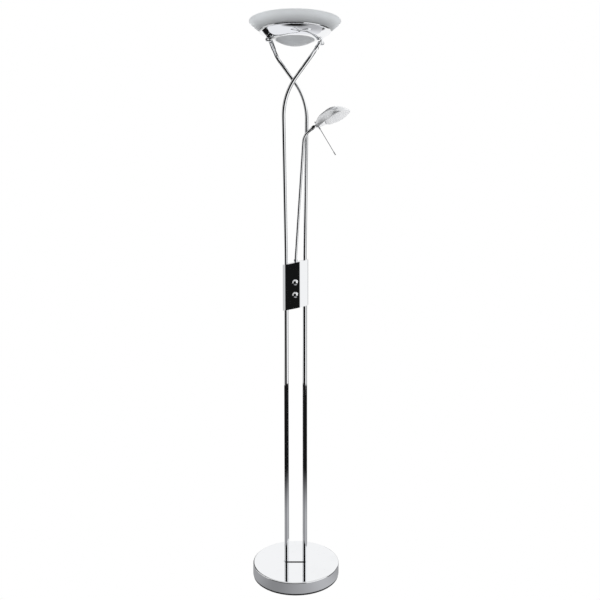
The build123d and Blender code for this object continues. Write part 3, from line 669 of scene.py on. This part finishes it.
class Bench:
    """Modelling steps shared by the new pieces."""

    @staticmethod
    def bar(name: str, radius: float, length: float, sides: int = 32) -> bpy.types.Object:
        """Start a piece as an upright bar that stands on the origin, and enter edit mode.

        Args:
            name: The piece's name.
            radius: Radius of the bar.
            length: Length of the bar.
            sides: Number of sides.

        Returns:
            The new piece, in edit mode.
        """
        bpy.ops.object.select_all(action="DESELECT")
        middle = (0.0, 0.0, length / 2)
        bpy.ops.mesh.primitive_cylinder_add(vertices=sides, radius=radius, depth=length, location=middle)
        piece = bpy.context.object
        piece.name = name
        bpy.ops.object.transform_apply(location=True, rotation=True, scale=True)
        bpy.ops.object.mode_set(mode="EDIT")
        bpy.ops.mesh.select_mode(type="FACE")
        return piece

    @staticmethod
    def pick(piece: bpy.types.Object, test: Callable[[bmesh.types.BMFace], bool]) -> None:
        """Select the faces that pass a test and no others.

        Args:
            piece: The piece, in edit mode.
            test: The test of a face.
        """
        mesh = bmesh.from_edit_mesh(piece.data)
        for face in mesh.faces:
            face.select_set(test(face))
        bmesh.update_edit_mesh(piece.data)

    @staticmethod
    def pick_end(piece: bpy.types.Object, upward: float = 1.0) -> float:
        """Select the end face of an upright piece.

        Args:
            piece: The piece, in edit mode.
            upward: 1 for the upper end and -1 for the lower one.

        Returns:
            The height of that end.
        """
        mesh = bmesh.from_edit_mesh(piece.data)
        end = max(mesh.faces, key=lambda face: upward * face.calc_center_median().z)
        height = end.calc_center_median().z
        Bench.pick(piece, lambda face: abs(face.calc_center_median().z - height) < SAME_HEIGHT)
        return height

    @staticmethod
    def grow(piece: bpy.types.Object, step: float, across: float, deep: float, upward: float = 1.0) -> None:
        """Extrude the end face of an upright piece and resize it about the axis.

        Args:
            piece: The piece, in edit mode.
            step: How far the end moves.
            across: Scale along X.
            deep: Scale along Y.
            upward: 1 for the upper end and -1 for the lower one.
        """
        height = Bench.pick_end(piece, upward)
        bpy.ops.mesh.extrude_region_move(TRANSFORM_OT_translate={"value": (0.0, 0.0, upward * step)})
        centre = (0.0, 0.0, height + upward * step)
        bpy.ops.transform.resize(value=(across, deep, 1.0), center_override=centre)

    @staticmethod
    def ease(piece: bpy.types.Object, size: float, steps: int = 3, upward: float = 1.0) -> None:
        """Round the rim of the end face of an upright piece.

        Args:
            piece: The piece, in edit mode.
            size: Width of the rounding.
            steps: Number of facets across it.
            upward: 1 for the upper end and -1 for the lower one.
        """
        Bench.pick_end(piece, upward)
        bpy.ops.mesh.region_to_loop()
        bpy.ops.mesh.bevel(offset=size, segments=steps, affect="EDGES")
        bpy.ops.mesh.select_mode(type="FACE")

    @staticmethod
    def modify(piece: bpy.types.Object, kind: str, settings: dict[str, Any]) -> None:
        """Add a modifier, set it and apply it.

        Args:
            piece: The piece to change.
            kind: The modifier's type.
            settings: The modifier's settings.
        """
        bpy.context.view_layer.objects.active = piece
        modifier = piece.modifiers.new(kind.lower(), kind)
        for name, setting in settings.items():
            setattr(modifier, name, setting)
        bpy.ops.object.modifier_apply(modifier=modifier.name)

    @staticmethod
    def cut(piece: bpy.types.Object, tool: bpy.types.Object) -> None:
        """Cut one piece out of another and throw the tool away."""
        Bench.modify(piece, "BOOLEAN", {"operation": "DIFFERENCE", "object": tool, "solver": "EXACT"})
        bpy.data.objects.remove(tool)

    @staticmethod
    def close(piece: bpy.types.Object) -> None:
        """Merge doubles, turn the faces outwards and leave edit mode.

        Args:
            piece: The piece, in edit mode.
        """
        bpy.ops.mesh.select_all(action="SELECT")
        bpy.ops.mesh.remove_doubles(threshold=MERGE_DISTANCE)
        bpy.ops.mesh.normals_make_consistent(inside=False)
        bpy.ops.object.mode_set(mode="OBJECT")
        LOG.info("modelled %s", piece.name)

    @staticmethod
    def stand(piece: bpy.types.Object, place: Vector, axis: Vector) -> None:
        """Put the mesh of an upright piece at a place along an axis.

        Args:
            piece: The piece, modelled upright on the origin.
            place: Where its origin goes.
            axis: Where its upward direction goes.
        """
        bpy.ops.object.select_all(action="DESELECT")
        piece.select_set(True)
        bpy.context.view_layer.objects.active = piece
        piece.rotation_mode = "QUATERNION"
        piece.rotation_quaternion = axis.to_track_quat("Z", "Y")
        piece.location = place
        bpy.ops.object.transform_apply(location=True, rotation=True, scale=True)
        piece.rotation_mode = "XYZ"

    @staticmethod
    def copy(piece: bpy.types.Object) -> bpy.types.Object:
        """Copy a piece, with a mesh of its own.

        Args:
            piece: The piece to copy.

        Returns:
            The copy.
        """
        twin = piece.copy()
        twin.data = piece.data.copy()
        bpy.context.scene.collection.objects.link(twin)
        return twin

    @staticmethod
    def join(pieces: list[bpy.types.Object]) -> bpy.types.Object:
        """Join pieces into the first one.

        Args:
            pieces: The pieces to join.

        Returns:
            The first piece, with all the meshes.
        """
        bpy.ops.object.select_all(action="DESELECT")
        for piece in pieces:
            piece.select_set(True)
        bpy.context.view_layer.objects.active = pieces[0]
        bpy.ops.object.join()
        return pieces[0]


@dataclass
class SubAssembly:
    """A group of pieces that is dressed and detailed together."""

    wardrobe: Wardrobe

    def dress_all(self, slots: dict[str, Slot]) -> None:
        """Dress several CAD nodes, each in its own finish."""
        for name, slot in slots.items():
            self.wardrobe.dress_node(name, slot)

    def fit(self, piece: bpy.types.Object, slot: Slot, body: Body, *nodes: str) -> None:
        """Finish a new piece: its shading, material, body and the CAD nodes it stands for.

        Args:
            piece: The new piece, in its place.
            slot: Its material slot.
            body: The body it moves with.
            nodes: CAD nodes that it replaces.
        """
        bpy.ops.object.select_all(action="DESELECT")
        piece.select_set(True)
        bpy.context.view_layer.objects.active = piece
        bpy.ops.object.shade_smooth_by_angle(angle=SMOOTH_ANGLE)
        self.wardrobe.dress(piece, slot)
        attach(piece, body.value)
        if nodes:
            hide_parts(*nodes)
        LOG.info("fitted %s on the %s", piece.name, body.value)

    def build(self) -> None:
        """Make the new pieces and dress all pieces."""
        raise NotImplementedError


@dataclass
class Foot(SubAssembly):
    """Weighted foot with its cover, pad and cord inlet."""

    def build(self) -> None:
        """Dress the foot's pieces."""
        self.dress_all({
            "foot_cover": Slot.CHROME,
            "foot_pad": Slot.FOAM_PAD,
            "foot_weight": Slot.CAST_STONE,
            "cord_inlet_bush": Slot.BLACK_PLASTIC,
            "pole_foot_plate": Slot.CHROME,
            "foot_nipples": Slot.ZINC_STEEL,
            "foot_washers": Slot.ZINC_STEEL,
            "foot_nuts": Slot.ZINC_STEEL,
            "pole_inserts": Slot.ZINC_STEEL,
        })


@dataclass
class Poles(SubAssembly):
    """Two lower poles, and the upper poles that lean out and cross."""

    def build(self) -> None:
        """Dress the poles and the joints at their top ends."""
        self.dress_all({
            "lower_pole_left": Slot.CHROME,
            "lower_pole_right": Slot.CHROME,
            "upper_pole_left": Slot.CHROME,
            "upper_pole_right": Slot.CHROME,
            "pole_knuckle_left": Slot.CHROME,
            "pole_knuckle_right": Slot.CHROME,
            "pole_sleeves": Slot.CHROME,
            "pivot_screws": Slot.CHROME,
            "friction_washers": Slot.BLACK_PLASTIC,
        })


@dataclass
class Uplighter(SubAssembly):
    """Tilting dish with its glass ring, lens and tubular lamp."""

    tube_radius: float = 0.0055
    tube_half: float = 0.0335
    tube_sides: int = 24
    tube_smoothing: int = 2
    shoulder_length: float = 0.002025
    shoulder_scale: float = 0.9
    draw_length: float = 0.002475
    pinch_length: float = 0.006
    pinch_across: float = 0.72
    pinch_deep: float = 0.5
    pinch_taper: float = 0.7
    cap_radius: float = 0.0035
    cap_body: float = 0.00825
    waist_slope: float = 0.00099
    waist_length: float = 0.00165
    waist_scale: float = 0.88
    cap_end: float = 0.00264
    button_length: float = 0.00198
    button_radius: float = 0.0015
    button_taper: float = 0.9
    button_round: float = 0.00045
    coil_radius: float = 0.0012
    coil_pitch: float = 0.0011
    coil_turns: int = 48
    coil_steps: int = 10
    wire_radius: float = 0.00022
    wire_sides: int = 6

    def make_tube(self, centre: Vector) -> None:
        """Quartz tube with drawn in, pinched ends.

        Args:
            centre: Middle of the lamp.
        """
        half = Bench.bar("lamp_tube", self.tube_radius, self.tube_half, self.tube_sides)
        Bench.grow(half, self.shoulder_length, self.shoulder_scale, self.shoulder_scale)
        Bench.grow(half, self.draw_length, self.pinch_across, self.pinch_deep)
        Bench.grow(half, self.pinch_length, 1.0, self.pinch_taper)
        Bench.pick_end(half, -1.0)
        bpy.ops.mesh.delete(type="FACE")
        Bench.close(half)
        Bench.modify(half, "MIRROR", {"use_axis": (False, False, True), "merge_threshold": MIRROR_MERGE})
        Bench.modify(half, "SUBSURF", {"levels": self.tube_smoothing, "render_levels": self.tube_smoothing})
        Bench.stand(half, centre, ACROSS)
        self.fit(half, Slot.CLEAR_GLASS, Body.UPLIGHTER, "halogen_lamp")

    def make_caps(self, centre: Vector, reach: float) -> None:
        """Ceramic end caps with a waist and a contact button.

        Args:
            centre: Middle of the lamp.
            reach: Half the length of the lamp.
        """
        steps = (
            (self.waist_slope, self.waist_scale),
            (self.waist_length, 1.0),
            (self.waist_slope, 1.0 / self.waist_scale),
            (self.cap_end, 1.0),
            (0.0, self.button_radius / self.cap_radius),
            (self.button_length, self.button_taper),
        )
        length = self.cap_body + sum(step for step, _ in steps)
        caps = []
        for side in (-1.0, 1.0):
            cap = Bench.bar("lamp_caps", self.cap_radius, self.cap_body)
            for step, scale in steps:
                Bench.grow(cap, step, scale, scale)
            Bench.ease(cap, self.button_round)
            Bench.close(cap)
            outward = Vector((side, 0.0, 0.0))
            Bench.stand(cap, centre + outward * (reach - length), outward)
            caps.append(cap)
        self.fit(Bench.join(caps), Slot.CERAMIC, Body.UPLIGHTER)

    def make_filament(self, centre: Vector) -> None:
        """Coiled filament along the tube.

        Args:
            centre: Middle of the lamp.
        """
        bpy.ops.object.select_all(action="DESELECT")
        bpy.ops.mesh.primitive_circle_add(
            vertices=self.wire_sides, radius=self.wire_radius, location=(self.coil_radius, 0.0, 0.0),
            rotation=(math.radians(90.0), 0.0, 0.0))
        coil = bpy.context.object
        coil.name = "lamp_filament"
        bpy.ops.object.transform_apply(location=True, rotation=True, scale=True)
        Bench.modify(coil, "SCREW", {
            "axis": "Z", "angle": math.tau, "screw_offset": self.coil_pitch, "iterations": self.coil_turns,
            "steps": self.coil_steps, "render_steps": self.coil_steps, "use_smooth_shade": True})
        bpy.ops.object.mode_set(mode="EDIT")
        Bench.close(coil)
        Bench.stand(coil, centre - ACROSS * (self.coil_turns * self.coil_pitch / 2), ACROSS)
        self.fit(coil, Slot.ZINC_STEEL, Body.UPLIGHTER)

    def build(self) -> None:
        """Make the lamp and dress the dish, with a darker copy of the glass as painted shade on the bottom
        lens.
        """
        low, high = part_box("halogen_lamp")
        centre = (low + high) / 2
        self.make_tube(centre)
        self.make_caps(centre, (high.x - low.x) / 2)
        self.make_filament(centre)
        self.wardrobe.dress_apart("bottom_lens", SHADED_LENS_GLASS, "shaded_lens_glass")
        self.dress_all({
            "bowl_lugs": Slot.CHROME,
            "uplighter_bowl": Slot.CHROME,
            "glass_ring": Slot.FROSTED_GLASS,
            "lens_retainer": Slot.ZINC_STEEL,
            "bowl_studs": Slot.ZINC_STEEL,
            "lamp_bracket": Slot.ZINC_STEEL,
            "lamp_sockets": Slot.CERAMIC,
            "glass_clips": Slot.ZINC_STEEL,
            "cover_glass": Slot.CLEAR_GLASS,
        })


@dataclass(frozen=True)
class Screw:
    """Screw with a round head, modelled upright from the end of its shank."""

    shank_radius: float
    head_radius: float
    head_height: float
    head_round: float
    head_steps: int
    tip_round: float = 0.000525
    tip_steps: int = 2

    def model(self, name: str, shank: float) -> bpy.types.Object:
        """Model the screw without the recess for its driver.

        Args:
            name: The screw's name.
            shank: Length of the shank under the head.

        Returns:
            The screw, head up.
        """
        screw = Bench.bar(name, self.shank_radius, shank)
        widen = self.head_radius / self.shank_radius
        Bench.grow(screw, 0.0, widen, widen)
        Bench.grow(screw, self.head_height, 1.0, 1.0)
        Bench.ease(screw, self.head_round, self.head_steps)
        Bench.ease(screw, self.tip_round, self.tip_steps, -1.0)
        Bench.close(screw)
        return screw


@dataclass
class DimmerBox(SubAssembly):
    """Box on the poles with two dimmers."""

    screw: Screw = Screw(
        shank_radius=0.0015, head_radius=0.003, head_height=0.002, head_round=0.0011, head_steps=4)
    screw_spread: float = 0.014
    screw_rows: Span = (0.917, 1.0345)
    screw_slope: float = 0.2217
    recess_length: float = 0.0034
    recess_width: float = 0.0008
    recess_depth: float = 0.0013
    recess_taper: float = 0.5

    def recess_bar(self, top: float, turn: float) -> bpy.types.Object:
        """One bar of the cross recess, to be cut out of a screw's head.

        Args:
            top: Height of the head's top.
            turn: Turn of the bar in degrees.

        Returns:
            The bar, narrower at its bottom.
        """
        bpy.ops.object.select_all(action="DESELECT")
        bpy.ops.mesh.primitive_cube_add(
            size=1.0, location=(0.0, 0.0, top), rotation=(0.0, 0.0, math.radians(turn)),
            scale=(self.recess_length, self.recess_width, 2 * self.recess_depth))
        bar = bpy.context.object
        bpy.ops.object.transform_apply(location=True, rotation=True, scale=True)
        bpy.ops.object.mode_set(mode="EDIT")
        bpy.ops.mesh.select_mode(type="FACE")
        Bench.pick_end(bar, -1.0)
        bottom = (0.0, 0.0, top - self.recess_depth)
        bpy.ops.transform.resize(value=(self.recess_taper, self.recess_taper, 1.0), center_override=bottom)
        bpy.ops.object.mode_set(mode="OBJECT")
        return bar

    def make_screws(self) -> None:
        """Pan head screws with a cross recess, on the back of the box."""
        low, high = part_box("cover_screws")
        shank = high.y - low.y - self.screw.head_height
        screw = self.screw.model("cover_cross_screws", shank)
        for turn in (0.0, 90.0):
            Bench.cut(screw, self.recess_bar(shank + self.screw.head_height, turn))
        screws = []
        for row in self.screw_rows:
            for side in (-self.screw_spread, self.screw_spread):
                twin = Bench.copy(screw)
                place = Vector((side, low.y, row + side * self.screw_slope))
                Bench.stand(twin, place, BACKWARD)
                screws.append(twin)
        bpy.data.objects.remove(screw)
        joined = Bench.join(screws)
        joined.name = "cover_cross_screws"
        self.fit(joined, Slot.ZINC_STEEL, Body.STAND, "cover_screws")

    def build(self) -> None:
        """Make the cover screws, and dress the box with its satin back, its dimmers and what is inside."""
        self.make_screws()
        self.wardrobe.dress_apart("box_back_cover", SATIN_PLASTIC, "satin_plastic")
        self.dress_all({
            "box_front_cover": Slot.CHROMED_PLASTIC,
            "dimmer_knob_upper": Slot.CHROMED_PLASTIC,
            "dimmer_knob_lower": Slot.CHROMED_PLASTIC,
            "dimmer_shaft_upper": Slot.PALE_PLASTIC,
            "dimmer_shaft_lower": Slot.PALE_PLASTIC,
            "dimmer_bodies": Slot.BLACK_PLASTIC,
            "dimmer_nuts": Slot.ZINC_STEEL,
            "dimmer_triacs": Slot.BLACK_PLASTIC,
            "terminal_block": Slot.BLACK_PLASTIC,
            "dimmer_board": Slot.BOARD,
            "dimmer_chokes": Slot.COPPER_COIL,
            "lower_bridge": Slot.ZINC_STEEL,
            "upper_bridge": Slot.ZINC_STEEL,
            "bridge_set_screws": Slot.ZINC_STEEL,
        })


@dataclass
class ReadingArm(SubAssembly):
    """Turning arm between the box and the reading head."""

    def build(self) -> None:
        """Dress the arm."""
        self.dress_all({
            "arm_socket": Slot.ZINC_STEEL,
            "arm_thrust_washer": Slot.BLACK_PLASTIC,
            "reading_arm": Slot.CHROME,
            "arm_collar": Slot.CHROME,
            "head_swivel": Slot.CHROME,
            "head_tilt_pin": Slot.CHROME,
        })


@dataclass
class ReadingHead(SubAssembly):
    """Leaf shaped shade with its lens, bulb and handle."""

    screw: Screw = Screw(
        shank_radius=0.0015, head_radius=0.0028, head_height=0.0022, head_round=0.00055, head_steps=3)
    screw_place: Point = (0.07546, -0.00066, 1.48636)
    screw_axis: Point = (-0.9016, 0.1793, 0.3937)
    screw_length: float = 0.01529
    socket_radius: float = 0.0015
    socket_depth: float = 0.0013
    socket_sides: int = 6

    def make_neck_screw(self) -> None:
        """Black screw with a hexagon socket in the neck of the shade."""
        screw = self.screw.model("neck_socket_screw", self.screw_length - self.screw.head_height)
        socket = Bench.bar("neck_socket", self.socket_radius, 2 * self.socket_depth, self.socket_sides)
        Bench.close(socket)
        Bench.stand(socket, UPWARD * (self.screw_length - self.socket_depth), UPWARD)
        Bench.cut(screw, socket)
        Bench.stand(screw, Vector(self.screw_place), Vector(self.screw_axis))
        self.fit(screw, Slot.BLACK_SCREW, Body.READING_HEAD, "neck_screw")

    def build(self) -> None:
        """Make the neck screw and dress the head, with an opal lens and a satin shade."""
        self.make_neck_screw()
        self.wardrobe.dress_apart("shade_lens", OPAL_GLASS, "opal_glass")
        self.wardrobe.dress_apart("reading_shade", SATIN_CHROME, "satin_chrome")
        self.dress_all({
            "head_mount": Slot.CHROME,
            "reading_lamp_holder": Slot.CERAMIC,
            "capsule_bulb": Slot.CLEAR_GLASS,
            "handle_rod": Slot.CHROME,
            "handle_tip": Slot.CHROME,
        })


@dataclass
class Studio:
    """Camera, floor and light of the picture.

    Turns are bearings in degrees, 0 towards the camera and rising to the right. Rises are degrees above the
    horizon. A window has a start, an end and half the width of its edges. Tones run from 0 to 1 for white.
    """

    camera_place: Point = (0.01465, -2.2511, 1.2112)
    camera_pitch: float = 5.821
    camera_roll: float = -0.053
    camera_lens: float = 42.024
    camera_shift: float = -0.02833
    sensor_width: float = 36.0
    floor_radius: float = 2.6
    floor_sides: int = 128
    floor_tint: Colour = (0.965, 0.97, 1.0)
    floor_tone: float = 0.9
    floor_light: float = 0.8
    shadow_tone: float = 0.008
    shadow_turn: Window = (-150.0, 150.0, 10.0)
    # painted shadow of the lamp on the floor, seen only in mirror surfaces, lighter to the right and darker
    # to the left
    lamp_shadow_edge: Span = (0.42, 1.0)
    lamp_shadow_tone: float = 0.36
    pale_turn: Window = (25.0, 75.0, 25.0)
    pale_gain: float = 0.14
    dim_turn: Window = (-55.0, -10.0, 20.0)
    dim_loss: float = 0.1
    bowl_heights: Span = (1.6733, 1.7176)
    bowl_turn: Window = (40.0, 140.0, 30.0)
    bowl_shade: float = 0.42
    lip_edge: Span = (0.03, 0.4)
    first_bounce: Span = (1.2, 1.8)
    panel_tone: float = 0.97
    ceiling_tone: float = 0.72
    ceiling_rise: Span = (38.0, 54.0)
    front_turn: Window = (-71.0, 28.0, 3.0)
    flag_turn: Window = (87.0, 136.0, 5.0)
    flag_rise: Span = (14.0, 22.0)
    high_turn: Window = (-170.0, -124.0, 4.0)
    high_rise: Window = (10.0, 54.0, 5.0)
    low_turn: Window = (-172.0, -128.0, 6.0)
    low_rise: Span = (-16.0, -10.0)
    left_turn: Window = (-118.0, -71.0, 6.0)
    left_tone: float = 0.64
    sky_tone: float = 0.45
    sky_gain: float = 0.6
    sky_heights: Span = (-0.3, 0.8)
    side_turn: Window = (60.0, 150.0, 40.0)

    def build(self) -> None:
        """Set up the camera, floor and light."""
        bpy.context.scene.view_settings.view_transform = "Standard"
        self.place_camera()
        self.lay_floor()
        self.light_world()

    def place_camera(self) -> None:
        """Place the camera at the picture's angle."""
        camera = bpy.data.cameras.new("camera")
        camera.lens = self.camera_lens
        camera.sensor_width = self.sensor_width
        camera.shift_y = self.camera_shift
        holder = bpy.data.objects.new("camera", camera)
        bpy.context.scene.collection.objects.link(holder)
        pitch = Euler((math.radians(90.0 - self.camera_pitch), 0.0, 0.0)).to_matrix().to_4x4()
        roll = Matrix.Rotation(math.radians(self.camera_roll), 4, "Z")
        holder.matrix_world = Matrix.Translation(self.camera_place) @ pitch @ roll
        bpy.context.scene.camera = holder
        LOG.info("placed the camera")

    @staticmethod
    def bearing(tree: Tree, place: bpy.types.NodeSocket) -> tuple[Value, Value, Value]:
        """Bearing of a place or direction, and its parts towards the camera and upwards.

        Args:
            tree: The nodes to add to.
            place: The vector to read.

        Returns:
            The bearing in degrees, the part towards the camera and the upward part.
        """
        parts = tree.node("ShaderNodeSeparateXYZ", {}, {"Vector": place})
        across = Value(tree, parts.outputs["X"])
        ahead = 0 - Value(tree, parts.outputs["Y"])
        turn = tree.math("ARCTAN2", across, ahead) * math.degrees(1.0)
        return turn, ahead, Value(tree, parts.outputs["Z"])

    @staticmethod
    def shown(tree: Tree, pattern: Value, plain: Operand) -> tuple[Value, Value]:
        """Tone that is white to the camera, a pattern in mirror surfaces and plain in all others.

        Args:
            tree: The nodes to add to.
            pattern: The tone that mirror surfaces see.
            plain: The tone that lights all other surfaces.

        Returns:
            The tone, and 1 for rays from the camera.
        """
        path = tree.node("ShaderNodeLightPath", {}, {})
        camera = Value(tree, path.outputs["Is Camera Ray"])
        glossy = Value(tree, path.outputs["Is Glossy Ray"])
        through = Value(tree, path.outputs["Is Transmission Ray"])
        unseen = blend(plain, pattern, glossy * (1 - through))
        return blend(unseen, 1.0, camera), camera

    def floor_pattern(self, tree: Tree, place: bpy.types.NodeSocket) -> Value:
        """Tone of the floor in mirror surfaces: a grey painted shadow of the lamp on a dark floor that is
        pale behind the lamp.

        The bowl sees a pale floor without the painted shadow, which darkens in front. The square of a ray's
        length, less the square of the reach where it lands, is about the square of the height that it comes
        from.

        Args:
            tree: The nodes to add to.
            place: Object coordinates of the floor.

        Returns:
            The tone.
        """
        turn, ahead, _ = self.bearing(tree, place)
        reach = tree.value("ShaderNodeVectorMath", {"operation": "LENGTH"}, {0: place}, "Value")
        path = tree.node("ShaderNodeLightPath", {}, {})
        length = Value(tree, path.outputs["Ray Length"])
        first = 1 - Value(tree, path.outputs["Glossy Depth"]).smooth(*self.first_bounce)
        low, high = (height * height for height in self.bowl_heights)
        from_bowl = (length * length - reach * reach).smooth(low, high) * first
        pale = turn.band(*self.pale_turn) * self.pale_gain
        dim = turn.band(*self.dim_turn) * self.dim_loss
        # painted shadow of the lamp on the floor near its foot
        lamp_shadow = self.lamp_shadow_tone + pale - dim
        under_bowl = self.floor_tone - turn.band(*self.bowl_turn) * self.bowl_shade
        under_bowl = blend(under_bowl, self.shadow_tone, ahead.smooth(*self.lip_edge))
        near = blend(lamp_shadow, under_bowl, from_bowl)
        far = blend(self.floor_tone, self.shadow_tone, turn.band(*self.shadow_turn))
        return blend(near, far, reach.smooth(*self.lamp_shadow_edge) * (1 - from_bowl))

    def lay_floor(self) -> None:
        """Lay a round floor that the camera sees as white."""
        bpy.ops.object.select_all(action="DESELECT")
        bpy.ops.mesh.primitive_circle_add(
            vertices=self.floor_sides, radius=self.floor_radius, fill_type="NGON")
        floor = bpy.context.object
        floor.name = "floor"
        material = bpy.data.materials.new("pale_floor")
        tree = Tree(material)
        place = tree.node("ShaderNodeTexCoord", {}, {}).outputs["Object"]
        tone, camera = self.shown(tree, self.floor_pattern(tree, place), self.floor_light)
        tint = tree.mix(camera, self.floor_tint, WHITE)
        glow = tree.node("ShaderNodeEmission", {}, {"Color": tint, "Strength": tone})
        tree.node("ShaderNodeOutputMaterial", {}, {"Surface": glow.outputs["Emission"]})
        floor.data.materials.append(material)
        LOG.info("laid the floor")

    def panel_pattern(self, tree: Tree, turn: Value, upward: Value) -> Value:
        """Tone of the room in mirror surfaces: white panels and a ceiling, between dark flags.

        Args:
            tree: The nodes to add to.
            turn: The bearing.
            upward: The direction's upward part.

        Returns:
            The tone.
        """
        rise = tree.math("ARCSINE", upward) * math.degrees(1.0)
        ceiling = rise.smooth(*self.ceiling_rise)
        front = turn.band(*self.front_turn)
        flag = turn.band(*self.flag_turn) * (1 - rise.smooth(*self.flag_rise))
        walls = tree.math("MAXIMUM", front, flag) * (1 - ceiling)
        high = turn.band(*self.high_turn) * rise.band(*self.high_rise)
        low = turn.band(*self.low_turn) * (1 - rise.smooth(*self.low_rise))
        dark = tree.math("MAXIMUM", tree.math("MAXIMUM", walls, high), low)
        left = turn.band(*self.left_turn) * (1 - ceiling)
        bright = blend(self.panel_tone, self.ceiling_tone, ceiling) * blend(1.0, self.left_tone, left)
        return blend(bright, self.shadow_tone, dark)

    def light_world(self) -> None:
        """Light the lamp from a pale sky that is brighter above and at the sides."""
        world = bpy.data.worlds.new("studio")
        bpy.context.scene.world = world
        tree = Tree(world)
        direction = tree.node("ShaderNodeTexCoord", {}, {}).outputs["Generated"]
        turn, _, upward = self.bearing(tree, direction)
        sides = tree.math("ABSOLUTE", turn).band(*self.side_turn)
        sky = self.sky_tone + (upward.smooth(*self.sky_heights) + sides) * self.sky_gain
        tone, _ = self.shown(tree, self.panel_pattern(tree, turn, upward), sky)
        background = tree.node("ShaderNodeBackground", {}, {"Color": (*WHITE, 1.0), "Strength": tone})
        tree.node("ShaderNodeOutputWorld", {}, {"Surface": background.outputs["Background"]})
        LOG.info("lit the studio")


def main() -> None:
    """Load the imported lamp, dress and detail it, and set up its studio."""
    logging.basicConfig(level=logging.INFO, format="%(message)s")
    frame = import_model()
    wardrobe = Wardrobe(frame)
    for kind in (Foot, Poles, Uplighter, DimmerBox, ReadingArm, ReadingHead):
        kind(wardrobe).build()
        LOG.info("finished the %s", kind.__name__)
    Studio().build()


if __name__ == "__main__":
    main()
